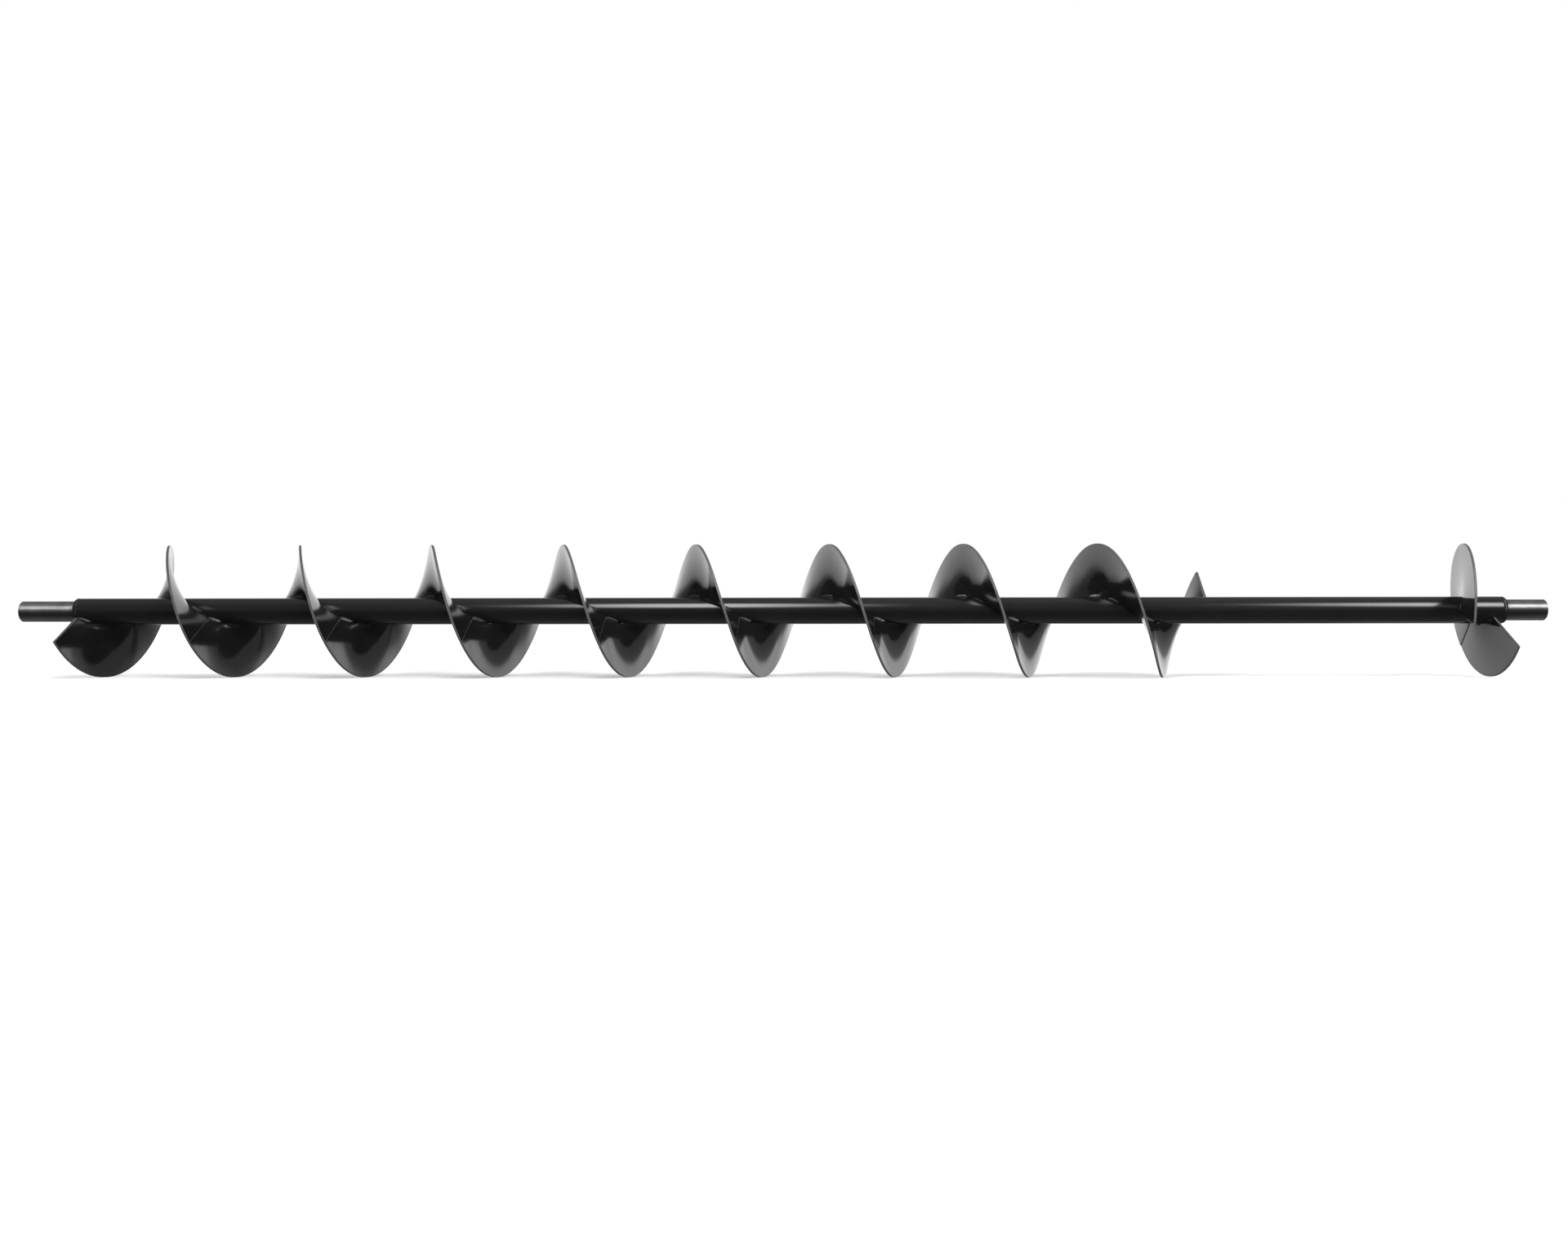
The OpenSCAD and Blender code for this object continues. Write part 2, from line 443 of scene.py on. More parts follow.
helixInputs = {
    "Start X": (floatSocket, 0.0),
    "Start Angle": (floatSocket, 0.0),
    "Span": (floatSocket, math.tau),
    "Pitch": (floatSocket, 0.16),
    "Tilt": (floatSocket, 0.0),
    "Dish": (floatSocket, 0.0),
    "Bend": (floatSocket, 0.0),
    "Bend Span": (floatSocket, math.pi / 2),
    "Rim Radius": (floatSocket, 0.08),
    "Thickness": (floatSocket, 0.003),
    "Root Radius": (floatSocket, 0.016),
}
materialInput = {"Material": ("NodeSocketMaterial", None)}


def buildFlightTree():
    # A block of quads is wound into a sheet: its X runs from root to rim, its Y
    # along the helix and its Z through the thickness. The faces on its rim and on
    # its two ends are marked as cut edges.
    rimBeyond, endBeyond = 0.99, 0.4999
    tree, given, result = newTree(
        "flightSection",
        "GeometryNodeTree",
        {
            **helixInputs,
            "Rings": ("NodeSocketInt", 12),
            "Steps": ("NodeSocketInt", 145),
            "Wave Height": (floatSocket, 0.0005),
            "Wave Size": (floatSocket, 0.07),
            **materialInput,
        },
        {"Geometry": "NodeSocketGeometry"},
    )
    values = givenNumbers(tree, given)
    block = addNode(
        tree, "GeometryNodeMeshCube", Vertices_X=values["Rings"], Vertices_Y=values["Steps"],
    )
    where = addNode(tree, "GeometryNodeInputPosition")
    split = addNode(tree, "ShaderNodeSeparateXYZ", Vector=where.outputs[0])
    across = Number(tree, split.outputs[0]) + 0.5
    turned = (Number(tree, split.outputs[1]) + 0.5) * values["Span"]
    side = Number(tree, split.outputs[2]) * 2.0
    radius = values["Root Radius"] + (values["Rim Radius"] - values["Root Radius"]) * across
    middle = placeOnHelix(tree, radius, turned, 0.0, values)
    noise = addNode(tree, "ShaderNodeTexNoise", Vector=middle, Detail=0.5)
    feed(tree, values["Wave Size"].apply("POWER", -1.0), noise.inputs["Scale"])
    wave = (Number(tree, noise.outputs[0]) - 0.5) * values["Wave Height"] * across * 2.0
    thickness = side * alongShaft(radius, values) * values["Thickness"] * 0.5
    place = placeOnHelix(tree, radius, turned, thickness + wave, values)
    rim = (across - rimBeyond).apply("GREATER_THAN", 0.0)
    end = Number(tree, split.outputs[1]).apply("ABSOLUTE") - endBeyond
    end = end.apply("GREATER_THAN", 0.0)
    marked = addNode(
        tree, "GeometryNodeStoreNamedAttribute", {"data_type": "FLOAT", "domain": "FACE"},
        Geometry=block.outputs["Mesh"], Name="cutEdge", Value=rim.apply("MAXIMUM", end),
    )
    moved = addNode(
        tree, "GeometryNodeSetPosition", Geometry=marked.outputs[0], Position=place
    )
    finishTree(tree, moved.outputs[0], values, result)
    return tree


def runTree(name, tree, values, mesh=None):
    # Evaluates a tree on a mesh and keeps the result as a plain mesh.
    piece = bpy.data.objects.new(name, mesh or bpy.data.meshes.new(name))
    bpy.context.scene.collection.objects.link(piece)
    modifier = piece.modifiers.new("build", "NODES")
    modifier.node_group = tree
    for item in tree.interface.items_tree:
        if item.item_type == "SOCKET" and item.in_out == "INPUT" and item.name in values:
            modifier[item.identifier] = values[item.name]
    settle(piece)
    return piece


def settle(piece):
    # Replaces a piece's mesh with its evaluated form and drops its modifiers.
    graph = bpy.context.evaluated_depsgraph_get()
    mesh = bpy.data.meshes.new_from_object(piece.evaluated_get(graph), depsgraph=graph)
    piece.modifiers.clear()
    piece.data = mesh
    mesh.name = piece.name


def roundEdges(piece, width, segments=2, angle=50):
    # Bevels every edge that turns by more than the angle, in degrees.
    bevel = piece.modifiers.new("round", "BEVEL")
    bevel.width = width
    bevel.segments = segments
    bevel.limit_method = "ANGLE"
    bevel.angle_limit = math.radians(angle)
    bevel.harden_normals = True
    settle(piece)


def keepPiece(piece, slot, *nodes):
    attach(piece, "root")
    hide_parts(*nodes)


flightTree = buildFlightTree()


def flightSection(name, run):
    piece = runTree(name, flightTree, {
        **run,
        "Rings": sheet["ringsAcross"],
        "Steps": round(run["Span"] / math.tau * sheet["stepsPerTurn"]) + 1,
        "Wave Height": sheet["waveHeight"],
        "Wave Size": sheet["waveSize"],
        "Material": sheetPaint,
    })
    roundEdges(piece, sheet["edgeRound"])
    return piece


def mainRun(number):
    # The shape of one section of the main flighting, counted from 0.
    last = number == sheet["fullSections"]
    return {
        "Start X": sheet["startX"] + number * sheet["pitch"],
        "Start Angle": sheet["startAngle"],
        "Span": sheet["lastSpan"] if last else math.tau,
        "Pitch": sheet["lastPitch"] if last else sheet["pitch"],
        "Thickness": sheet["thickness"],
        "Root Radius": tubeHigh.z,
        "Rim Radius": sheet["rimRadius"],
    }


def counterRuns():
    # The outer and the inner section of the counter flight.
    seamAngle = counterSheet["endAngle"] + counterSheet["outerSpan"]
    outer = {
        "Start X": counterSheet["endX"],
        "Start Angle": counterSheet["endAngle"],
        "Span": counterSheet["outerSpan"],
        "Pitch": -counterSheet["outerPitch"],
        "Dish": counterSheet["outerDish"],
        "Thickness": sheet["thickness"],
        "Root Radius": tubeHigh.z,
        "Rim Radius": counterSheet["rimRadius"],
    }
    seamX = outer["Start X"] + outer["Pitch"] * outer["Span"] / math.tau
    inner = {
        **outer,
        "Start X": seamX - counterSheet["step"],
        "Start Angle": seamAngle,
        "Span": counterSheet["innerSpan"],
        "Pitch": -counterSheet["innerPitch"],
        "Tilt": counterSheet["innerTilt"],
        "Dish": 0.0,
        "Bend": counterSheet["innerBend"],
        "Bend Span": counterSheet["bendSpan"],
    }
    return outer, inner


mainRuns = [mainRun(number) for number in range(sheet["fullSections"] + 1)]
for number, run in enumerate(mainRuns, 1):
    section = flightSection(f"flightSection{number}", run)
    keepPiece(section, "flight_paint", f"flight_{number}")
outerRun, innerRun = counterRuns()
keepPiece(flightSection("counterSectionOuter", outerRun), "flight_paint", "counter_flight_outer")
keepPiece(flightSection("counterSectionInner", innerRun), "flight_paint", "counter_flight_inner")
print("stage 3: flighting is wound")

stitch = {
    "legOnSheet": 0.0042,
    "legOnTube": 0.0031,
    "span": math.radians(30),
    "ripples": 11,
    "rippleHeight": 0.07,
    "rippleLean": 1.6,
    "roughness": 0.0004,
    "roughScale": 260.0,
    "seed": 7.0,
    "bury": 0.0004,
    # Where the bead's inner skin lies, and what its ends and its crest lose, as
    # shares of the legs.
    "innerSkin": 0.15,
    "endTaper": 0.7,
    "crestFlat": 0.12,
    "pointsRound": 8,
    "pointsAlong": 49,
    "stepsPerTurn": 48,
    # First step and number of steps, of 48 a turn, on each face of a section.
    "towardsRight": [(0, 3), (5, 4), (18, 4), (30, 4), (41, 4)],
    "towardsLeft": [(10, 4), (22, 4), (31, 4), (37, 4)],
    "counterTowardsRight": [(1, 4), (17, 4)],
    "counterTowardsLeft": [(1, 4), (9, 4), (25, 4)],
}


def buildStitchTree():
    # A rippled bead stands on every point of the piece, whose attributes say how
    # far round the section it lies and on which face of the sheet.
    tree, given, result = newTree(
        "stitchWelds",
        "GeometryNodeTree",
        {
            "Points": ("NodeSocketGeometry", None),
            **helixInputs,
            "Leg On Sheet": (floatSocket, 0.004),
            "Leg On Tube": (floatSocket, 0.003),
            "Bead Span": (floatSocket, 0.5),
            "Bury": (floatSocket, 0.0004),
            "Ripples": (floatSocket, 10.0),
            "Ripple Height": (floatSocket, 0.06),
            "Roughness": (floatSocket, 0.0004),
            "Seed": (floatSocket, 7.0),
            **materialInput,
        },
        {"Geometry": "NodeSocketGeometry"},
    )
    values = givenNumbers(tree, given)
    block = addNode(
        tree, "GeometryNodeMeshCube",
        Vertices_X=stitch["pointsRound"], Vertices_Y=stitch["pointsAlong"],
    )
    where = addNode(tree, "GeometryNodeInputPosition")
    noted = addNode(
        tree, "GeometryNodeStoreNamedAttribute", {"data_type": "FLOAT_VECTOR"},
        Geometry=block.outputs["Mesh"], Name="local", Value=where.outputs[0],
    )
    copies = addNode(
        tree, "GeometryNodeInstanceOnPoints", Points=given.outputs["Points"],
        Instance=noted.outputs[0],
    )
    single = addNode(tree, "GeometryNodeRealizeInstances", Geometry=copies.outputs[0])
    local = addNode(
        tree, "GeometryNodeInputNamedAttribute", {"data_type": "FLOAT_VECTOR"}, Name="local"
    )
    split = addNode(tree, "ShaderNodeSeparateXYZ", Vector=local.outputs[0])
    middle = addNode(tree, "GeometryNodeInputNamedAttribute", {"data_type": "FLOAT"}, Name="turned")
    face = addNode(tree, "GeometryNodeInputNamedAttribute", {"data_type": "FLOAT"}, Name="face")
    side = Number(tree, face.outputs[0])
    along = Number(tree, split.outputs[1])
    corner = (Number(tree, split.outputs[0]) + 0.5) * (math.pi / 2)
    crest = (corner * 2.0).sine()
    inner = stitch["innerSkin"]
    fill = Number(tree, split.outputs[2]) * (1 - inner) + (1 + inner) / 2
    taper = (along * 2.0).squared().squared() * -stitch["endTaper"] + 1.0
    wave = (along * values["Ripples"] * math.tau + crest * stitch["rippleLean"]).sine()
    swell = wave * values["Ripple Height"] * crest + 1.0 - crest * stitch["crestFlat"]
    swell = fill * taper * swell
    base = values["Root Radius"] - values["Bury"]
    radius = base + values["Leg On Sheet"] * corner.cosine() * swell
    reach = values["Leg On Tube"] * corner.sine() * swell - values["Bury"]
    shift = (values["Thickness"] * 0.5 + reach) * alongShaft(radius, values) * side
    turned = Number(tree, middle.outputs[0]) + along * values["Bead Span"] * side
    place = placeOnHelix(tree, radius, turned, shift, values)
    bead = addNode(
        tree, "GeometryNodeSetPosition", Geometry=single.outputs[0], Position=place
    )
    spot = addNode(tree, "GeometryNodeInputPosition")
    noise = addNode(
        tree, "ShaderNodeTexNoise", {"noise_dimensions": "4D"},
        Vector=spot.outputs[0], W=values["Seed"], Scale=stitch["roughScale"], Detail=1.0,
    )
    centred = addNode(tree, "ShaderNodeVectorMath", {"operation": "SUBTRACT"})
    feed(tree, noise.outputs["Color"], centred.inputs[0])
    centred.inputs[1].default_value = (0.5, 0.5, 0.5)
    shake = addNode(
        tree, "ShaderNodeVectorMath", {"operation": "SCALE"}, Scale=values["Roughness"]
    )
    feed(tree, centred.outputs[0], shake.inputs[0])
    moved = addNode(
        tree, "GeometryNodeSetPosition", Geometry=bead.outputs[0], Offset=shake.outputs[0]
    )
    finishTree(tree, moved.outputs[0], values, result)
    return tree


stitchTree = buildStitchTree()


def beadPoints(name, run, towardsRight, towardsLeft):
    # One point for each bead that fits on the section.
    step = math.tau / stitch["stepsPerTurn"]
    beads = [(first, count, 1.0) for first, count in towardsRight]
    beads += [(first, count, -1.0) for first, count in towardsLeft]
    beads = [bead for bead in beads if (bead[0] + bead[1]) * step < run["Span"] + step / 2]
    mesh = bpy.data.meshes.new(name)
    mesh.from_pydata([(0.0, 0.0, 0.0)] * len(beads), [], [])
    turned = mesh.attributes.new("turned", "FLOAT", "POINT")
    face = mesh.attributes.new("face", "FLOAT", "POINT")
    for index, (first, count, side) in enumerate(beads):
        turned.data[index].value = (first + count / 2) * step
        face.data[index].value = side
    return mesh


def stitchPiece(name, node, run, towardsRight, towardsLeft):
    points = beadPoints(name, run, towardsRight, towardsLeft)
    piece = runTree(name, stitchTree, {
        **run,
        "Leg On Sheet": stitch["legOnSheet"],
        "Leg On Tube": stitch["legOnTube"],
        "Bead Span": stitch["span"],
        "Bury": stitch["bury"],
        "Ripples": stitch["ripples"],
        "Ripple Height": stitch["rippleHeight"],
        "Roughness": stitch["roughness"],
        "Seed": stitch["seed"],
        "Material": weldPaint,
    }, points)
    keepPiece(piece, "weld_paint", node)


for number, run in enumerate(mainRuns, 1):
    stitchPiece(
        f"stitches{number}", "flight_stitch_welds", run,
        stitch["towardsRight"], stitch["towardsLeft"],
    )
for name, run in (("Outer", outerRun), ("Inner", innerRun)):
    stitchPiece(
        "counterStitches" + name, "counter_stitch_welds", run,
        stitch["counterTowardsRight"], stitch["counterTowardsLeft"],
    )
print("stage 4: stitch welds are laid")


def turnedPiece(name, profile, segments, material):
    # Turns a closed outline of (x, radius) points round the shaft's axis.
    mesh = bpy.data.meshes.new(name)
    shape = bmesh.new()
    rings = []
    for x, radius in profile:
        if radius == 0:
            rings.append([shape.verts.new((x, 0, 0))])
            continue
        rings.append([
            shape.verts.new((x, radius * math.cos(turn), radius * math.sin(turn)))
            for turn in (math.tau * k / segments for k in range(segments))
        ])
    for ring, following in zip(rings, rings[1:] + rings[:1]):
        for k in range(segments):
            corners = [ring[k % len(ring)], ring[(k + 1) % len(ring)]]
            corners += [following[(k + 1) % len(following)], following[k % len(following)]]
            face = list(dict.fromkeys(corners))
            if len(face) > 2:
                shape.faces.new(face)
    bmesh.ops.recalc_face_normals(shape, faces=shape.faces)
    shape.to_mesh(mesh)
    shape.free()
    mesh.shade_smooth()
    mesh.materials.append(material)
    piece = bpy.data.objects.new(name, mesh)
    bpy.context.scene.collection.objects.link(piece)
    return piece


shaft = {
    "boreRadius": 0.013,
    "land": 0.0005,
    "bevel": 0.003,
    "segments": 128,
    "edgeRound": 0.0004,
}


def buildCentreTube():
    left, right = tubeLow.x, tubeHigh.x
    bore, outer, bevel = shaft["boreRadius"], tubeHigh.z, shaft["bevel"]
    profile = [
        (left, bore), (left, bore + shaft["land"]), (left + bevel, outer),
        (right - bevel, outer), (right, bore + shaft["land"]), (right, bore),
    ]
    piece = turnedPiece("centreTube", profile, shaft["segments"], tubePaint)
    roundEdges(piece, shaft["edgeRound"], angle=30)
    keepPiece(piece, "black_paint", "centre_tube")


journal = {
    "radius": 0.0125,
    "collar": 0.0015,
    "plug": 0.060,
    "chamfer": 0.001,
    "centreHoleRadius": 0.0035,
    "centreHoleDepth": 0.0075,
    # The hole's cone and its straight part, as shares of the hole's radius, and
    # where its point ends, as a share of its depth.
    "coneLength": 1.2,
    "pilotRadius": 0.4,
    "pointDepth": 1.15,
    "segments": 96,
    "edgeRound": 0.00015,
}


def buildJournal(name, node, tubeEnd, tip):
    # The stub that shows, its collar, the plug in the bore and a centre hole.
    out = 1 if tip > tubeEnd else -1
    radius, chamfer, bore = journal["radius"], journal["chamfer"], shaft["boreRadius"]
    hole, depth = journal["centreHoleRadius"], journal["centreHoleDepth"]
    cone, pilot = hole * journal["coneLength"], hole * journal["pilotRadius"]
    inside = tubeEnd - out * journal["plug"]
    profile = [
        (inside, 0), (inside, bore - chamfer), (inside + out * chamfer, bore),
        (tubeEnd + out * journal["collar"], bore), (tubeEnd + out * journal["collar"], radius),
        (tip - out * chamfer, radius), (tip, radius - chamfer), (tip, hole),
        (tip - out * cone, pilot), (tip - out * depth, pilot),
        (tip - out * depth * journal["pointDepth"], 0),
    ]
    piece = turnedPiece(name, profile, journal["segments"], steel)
    roundEdges(piece, journal["edgeRound"], angle=25)
    keepPiece(piece, "turned_steel", node)


buildCentreTube()
buildJournal("leftJournal", "left_journal", tubeLow.x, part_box("left_journal")[0].x)
buildJournal("rightJournal", "right_journal", tubeHigh.x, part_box("right_journal")[1].x)
print("stage 5: tube and journals are turned")

ringWeld = {
    "middleRadius": 0.0139,
    "back": 0.0005,
    "sectionHeight": 0.0020,
    "sectionLength": 0.0030,
    "ripples": 58,
    "rippleHeight": 0.00013,
    # How far the ripples lean along the shaft, in radians of a ripple to a metre.
    "rippleLean": 400.0,
    "roughness": 0.0004,
    "roughScale": 150.0,
    "roughDetail": 1.5,
    "leftSeed": 3.0,
    "rightSeed": 8.0,
    "pointsRound": 320,
    "sectionPoints": 14,
}


def buildRingTree():
    # A closed ring bead with ripples that lean over like fish scales.
    tree, given, result = newTree(
        "ringWeld",
        "GeometryNodeTree",
        {
            "Middle X": (floatSocket, 0.0),
            "Middle Radius": (floatSocket, 0.014),
            "Section Height": (floatSocket, 0.002),
            "Section Length": (floatSocket, 0.003),
            "Ripples": (floatSocket, 58.0),
            "Ripple Height": (floatSocket, 0.0001),
            "Roughness": (floatSocket, 0.0004),
            "Seed": (floatSocket, 3.0),
            **materialInput,
        },
        {"Geometry": "NodeSocketGeometry"},
    )
    values = givenNumbers(tree, given)
    path = addNode(
        tree, "GeometryNodeCurvePrimitiveCircle",
        Resolution=ringWeld["pointsRound"], Radius=values["Middle Radius"],
    )
    section = addNode(
        tree, "GeometryNodeCurvePrimitiveCircle",
        Resolution=ringWeld["sectionPoints"], Radius=values["Section Height"],
    )
    ring = addNode(
        tree, "GeometryNodeCurveToMesh", Curve=path.outputs["Curve"],
        Profile_Curve=section.outputs["Curve"],
    )
    where = addNode(tree, "GeometryNodeInputPosition")
    split = addNode(tree, "ShaderNodeSeparateXYZ", Vector=where.outputs[0])
    spot = addNode(tree, "ShaderNodeCombineXYZ")
    stretch = values["Section Length"] / values["Section Height"]
    feed(tree, values["Middle X"] + stretch * split.outputs[2], spot.inputs[0])
    feed(tree, split.outputs[0], spot.inputs[1])
    feed(tree, split.outputs[1], spot.inputs[2])
    noise = addNode(
        tree, "ShaderNodeTexNoise", {"noise_dimensions": "4D"},
        Vector=where.outputs[0], W=values["Seed"],
        Scale=ringWeld["roughScale"], Detail=ringWeld["roughDetail"],
    )
    turn = Number(tree, split.outputs[1]).apply("ARCTAN2", Number(tree, split.outputs[0]))
    lean = Number(tree, split.outputs[2]) * ringWeld["rippleLean"]
    wave = (turn * values["Ripples"] + lean).sine() * values["Ripple Height"]
    height = (Number(tree, noise.outputs[0]) - 0.5) * values["Roughness"] + wave
    normal = addNode(tree, "GeometryNodeInputNormal")
    push = addNode(tree, "ShaderNodeVectorMath", {"operation": "SCALE"}, Scale=height)
    feed(tree, normal.outputs[0], push.inputs[0])
    rough = addNode(
        tree, "GeometryNodeSetPosition", Geometry=ring.outputs["Mesh"], Offset=push.outputs[0]
    )
    moved = addNode(
        tree, "GeometryNodeSetPosition", Geometry=rough.outputs[0], Position=spot.outputs[0]
    )
    finishTree(tree, moved.outputs[0], values, result)
    return tree


ringTree = buildRingTree()
for side, node, middle in (
    ("left", "left_end_weld", tubeLow.x + ringWeld["back"]),
    ("right", "right_end_weld", tubeHigh.x - ringWeld["back"]),
):
    ring = runTree(side + "RingWeld", ringTree, {
        "Middle X": middle,
        "Middle Radius": ringWeld["middleRadius"],
        "Section Height": ringWeld["sectionHeight"],
        "Section Length": ringWeld["sectionLength"],
        "Ripples": ringWeld["ripples"],
        "Ripple Height": ringWeld["rippleHeight"],
        "Roughness": ringWeld["roughness"],
        "Seed": ringWeld[side + "Seed"],
        "Material": weldPaint,
    })
    keepPiece(ring, "weld_paint", node)
print("stage 6: ring welds are laid")

floorLook = {
    "height": startBox[0][2],
    "halfSize": 12.0,
    "color": (0.80, 0.80, 0.80, 1.0),
    "roughness": 0.9,
    # Its glow to the camera: the level at the auger, what is added far away, and
    # the distances between which that comes in.
    "nearGlow": 0.25,
    "moreGlow": 0.45,
    "glowFrom": 0.25,
    "glowTo": 1.6,
}


def buildFloor():
    # A pale floor that stays white to the camera but keeps the shadow.
    material, tree, shader = newMaterial("paleFloor")
    path = addNode(tree, "ShaderNodeLightPath")
    seen = Number(tree, path.outputs["Is Camera Ray"])
    seen = seen.apply("MAXIMUM", path.outputs["Is Transmission Ray"])
    shader.inputs["Base Color"].default_value = floorLook["color"]
    shader.inputs["Roughness"].default_value = floorLook["roughness"]
    shader.inputs["Specular IOR Level"].default_value = 0.0
    shader.inputs["Emission Color"].default_value = (1.0, 1.0, 1.0, 1.0)
    place = addNode(tree, "ShaderNodeTexCoord").outputs["Object"]
    away = addNode(tree, "ShaderNodeVectorMath", {"operation": "LENGTH"})
    feed(tree, place, away.inputs[0])
    glow = smoothStep(tree, away.outputs["Value"], floorLook["glowFrom"], floorLook["glowTo"])
    glow = glow * floorLook["moreGlow"] + floorLook["nearGlow"]
    feed(tree, seen * glow, shader.inputs["Emission Strength"])
    mesh = bpy.data.meshes.new("floor")
    plane = bpy.data.objects.new("floor", mesh)
    grid = bmesh.new()
    bmesh.ops.create_grid(grid, x_segments=1, y_segments=1, size=floorLook["halfSize"])
    grid.to_mesh(mesh)
    grid.free()
    mesh.transform(Matrix.Translation((0, 0, floorLook["height"])))
    mesh.materials.append(material)
    plane.visible_glossy = False
    bpy.context.scene.collection.objects.link(plane)


studio = {
    "plainLevel": 0.6,
    # Elevation in degrees and brightness, for what glossy faces see.
    "backSky": [(-90, 0.24), (-64, 0.28), (-48, 0.05), (-35, 0.15), (-25, 0.28), (-19, 0.42),
                (-13, 1.2), (14, 1.25), (24, 0.5), (34, 0.25), (60, 0.25), (90, 0.45)],
    "frontSky": [(-90, 0.24), (-76, 0.17), (-46, 0.07), (-20, 0.03), (0, 0.08), (12, 0.2),
                 (50, 0.25), (90, 0.45)],
    # Degrees from straight behind to the two ends of the pale backdrop.
    "leftEdge": (-72, -54),
    "rightEdge": (50, 56),
    # Brightness that is left beyond those ends, and where it has faded away.
    "wingLevel": 0.3,
    "wingEnd": 85,
    # The backdrop is brighter by this much from the first angle to the second.
    "rightGain": 0.45,
    "gainAngles": (36, 44),
}


def addSky(tree, height, stops):
    # A ramp over the height of a direction, from straight down to straight up. It
    # starts with two stops and holds colours up to 1, so levels are halved in it.
    ramp = addNode(tree, "ShaderNodeValToRGB", Fac=height * 0.5 + 0.5)
    colors = ramp.color_ramp.elements
    for number, (elevation, level) in enumerate(stops):
        spot = math.sin(math.radians(elevation)) * 0.5 + 0.5
        stop = colors[number] if number < 2 else colors.new(spot)
        stop.position = spot
        stop.color = (level / 2, level / 2, level / 2, 1)
    return Number(tree, ramp.outputs["Color"]) * 2.0


def buildWorld():
    # White to the camera. Glossy faces see a pale backdrop behind the auger and
    # a dim room round it.
    world = bpy.data.worlds.new("studio")
    bpy.context.scene.world = world
    world.use_nodes = True
    tree = world.node_tree
    direction = addNode(tree, "ShaderNodeTexCoord").outputs["Generated"]
    split = addNode(tree, "ShaderNodeSeparateXYZ", Vector=direction)
    sideways = Number(tree, split.outputs[0])
    height = Number(tree, split.outputs[2])
    azimuth = sideways.apply("ARCTAN2", Number(tree, split.outputs[1]))
    left = [math.radians(edge) for edge in studio["leftEdge"]]
    right = [math.radians(edge) for edge in studio["rightEdge"]]
    behind = smoothStep(tree, azimuth, *left)
    behind = behind * (smoothStep(tree, azimuth, *right) * -1.0 + 1.0)
    front = addSky(tree, height, studio["frontSky"])
    back = addSky(tree, height, studio["backSky"])
    gain = [math.radians(edge) for edge in studio["gainAngles"]]
    back = back * (smoothStep(tree, azimuth, *gain) * studio["rightGain"] + 1.0)
    wingEnd = math.radians(studio["wingEnd"])
    wings = smoothStep(tree, azimuth.apply("ABSOLUTE"), wingEnd, right[1])
    behind = behind.apply("MAXIMUM", wings * studio["wingLevel"])
    room = front + (back - front) * behind
    path = addNode(tree, "ShaderNodeLightPath")
    glossy = Number(tree, path.outputs["Is Glossy Ray"])
    camera = Number(tree, path.outputs["Is Camera Ray"])
    level = glossy * (room - studio["plainLevel"]) + studio["plainLevel"]
    strength = level + camera * (level * -1.0 + 1.0)
    background = tree.nodes["Background"]
    background.inputs["Color"].default_value = (1, 1, 1, 1)
    feed(tree, strength, background.inputs["Strength"])


# It stands behind the auger on the right, from its near end to its far end along
# X, and fades in over the soft edge of the near one.
greyCard = {
    "nearEnd": 1.2,
    "farEnd": 5.0,
    "softEdge": 0.2,
    "distance": 1.2,
    "halfHeight": 2.5,
    "level": 0.38,
}


def buildCard():
    # A grey card that only glossy faces see.
    material, tree, shader = newMaterial("greyCard")
    shader.inputs["Base Color"].default_value = (0, 0, 0, 1)
    shader.inputs["Specular IOR Level"].default_value = 0.0
    shader.inputs["Emission Color"].default_value = (1, 1, 1, 1)
    shader.inputs["Emission Strength"].default_value = greyCard["level"]
    near, far = greyCard["nearEnd"], greyCard["farEnd"]
    height, distance = greyCard["halfHeight"], greyCard["distance"]
    place = addNode(tree, "ShaderNodeTexCoord").outputs["Object"]
    split = addNode(tree, "ShaderNodeSeparateXYZ", Vector=place)
    sideways = Number(tree, split.outputs[0])
    edge = smoothStep(tree, sideways, near, near + greyCard["softEdge"])
    feed(tree, edge, shader.inputs["Alpha"])
    mesh = bpy.data.meshes.new("greyCard")
    corners = [(near, -height), (far, -height), (far, height), (near, height)]
    mesh.from_pydata([(x, distance, z) for x, z in corners], [], [(0, 1, 2, 3)])
    mesh.materials.append(material)
    card = bpy.data.objects.new("greyCard", mesh)
    card.visible_camera = False
    card.visible_diffuse = False
    card.visible_shadow = False
    card.visible_transmission = False
    bpy.context.scene.collection.objects.link(card)


softboxes = {
    "middle": {
        "spot": (-0.20, -0.89, 0.95),
        "target": (-0.05, 0, 0),
        "size": (0.85, 1.3),
        "level": 12.0,
    },
    "right": {
        "spot": (1.36, -0.89, 0.95),
        "target": (0.8, 0, 0),
        "size": (1.0, 1.3),
        "level": 12.0,
    },
}
# Shares of a softbox's half width at which its cloth is dark and fully bright.
cloth = {"dark": 1.0, "bright": 0.15}


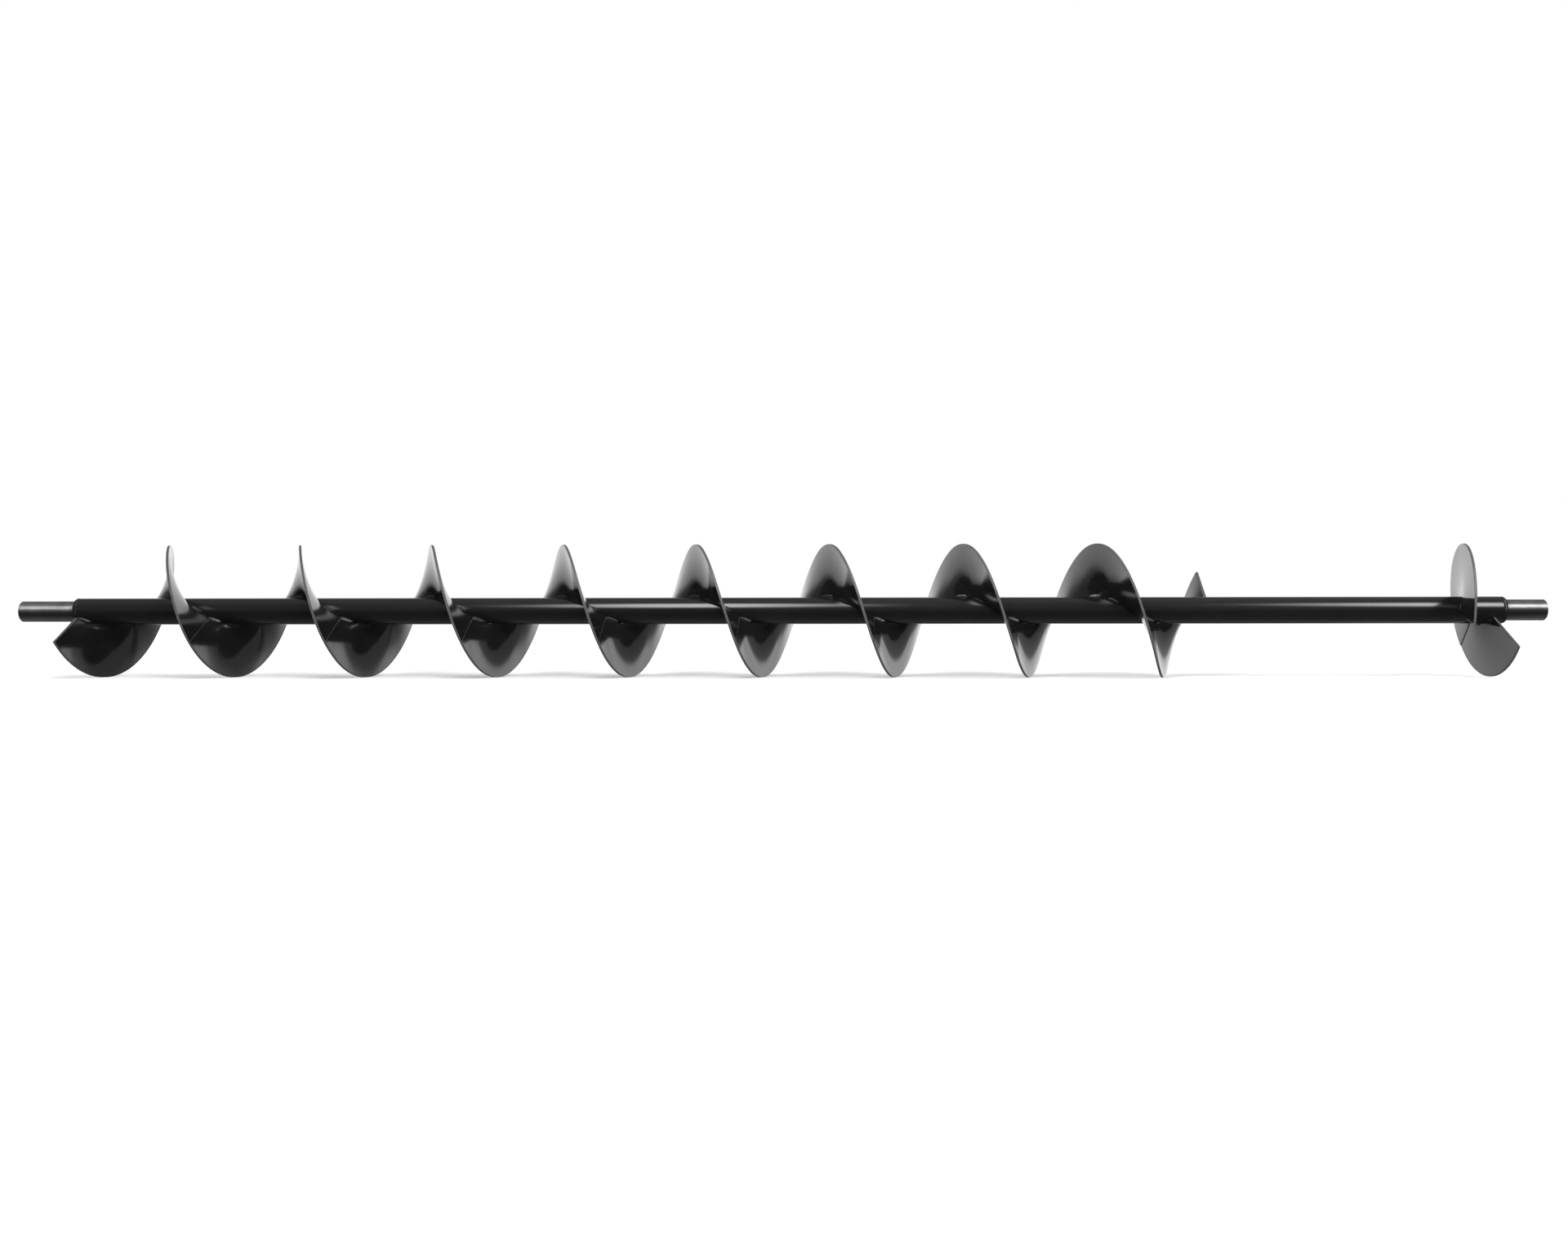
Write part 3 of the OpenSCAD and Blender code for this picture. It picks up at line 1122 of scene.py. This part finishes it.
def addSoftbox(name, spot, target, size, level):
    # A lamp behind cloth: brightest in the middle and fading to its rim.
    light = bpy.data.lights.new(name + "Softbox", "AREA")
    light.shape = "RECTANGLE"
    light.size, light.size_y = size
    light.energy = level * math.pi * size[0] * size[1]
    light.use_nodes = True
    tree = light.node_tree
    place = addNode(tree, "ShaderNodeNewGeometry").outputs["Parametric"]
    centred = addNode(tree, "ShaderNodeVectorMath", {"operation": "SUBTRACT"})
    feed(tree, place, centred.inputs[0])
    centred.inputs[1].default_value = (0.5, 0.5, 0)
    doubled = addNode(tree, "ShaderNodeVectorMath", {"operation": "MULTIPLY"})
    feed(tree, centred.outputs[0], doubled.inputs[0])
    doubled.inputs[1].default_value = (2, 2, 0)
    away = addNode(tree, "ShaderNodeVectorMath", {"operation": "LENGTH"})
    feed(tree, doubled.outputs[0], away.inputs[0])
    fade = smoothStep(tree, away.outputs["Value"], cloth["dark"], cloth["bright"])
    feed(tree, fade, tree.nodes["Emission"].inputs["Strength"])
    box = bpy.data.objects.new(name + "Softbox", light)
    box.visible_camera = False
    aim = (Vector(target) - Vector(spot)).to_track_quat("-Z", "Y")
    box.matrix_world = Matrix.Translation(spot) @ aim.to_matrix().to_4x4()
    bpy.context.scene.collection.objects.link(box)


viewpoint = {
    "place": (0.0676, -1.908, 0.0015),
    "yaw": 0.0285,
    "pitchDown": 0.0110,
    "roll": 0.0012,
    "lens": 36.45,
    "sensorWidth": 36.0,
    "farLimit": 100.0,
}


def addCamera():
    camera = bpy.data.cameras.new("camera")
    camera.sensor_width = viewpoint["sensorWidth"]
    camera.lens = viewpoint["lens"]
    camera.clip_end = viewpoint["farLimit"]
    eye = bpy.data.objects.new("camera", camera)
    turn = (
        Matrix.Rotation(viewpoint["yaw"], 4, "Z")
        @ Matrix.Rotation(math.pi / 2 - viewpoint["pitchDown"], 4, "X")
        @ Matrix.Rotation(-viewpoint["roll"], 4, "Z")
    )
    eye.matrix_world = Matrix.Translation(viewpoint["place"]) @ turn
    bpy.context.scene.collection.objects.link(eye)
    bpy.context.scene.camera = eye


buildFloor()
buildWorld()
buildCard()
for name, box in softboxes.items():
    addSoftbox(name, box["spot"], box["target"], box["size"], box["level"])
addCamera()
bpy.context.scene.view_settings.view_transform = "Standard"
print("stage 7: floor, lights and camera are set")
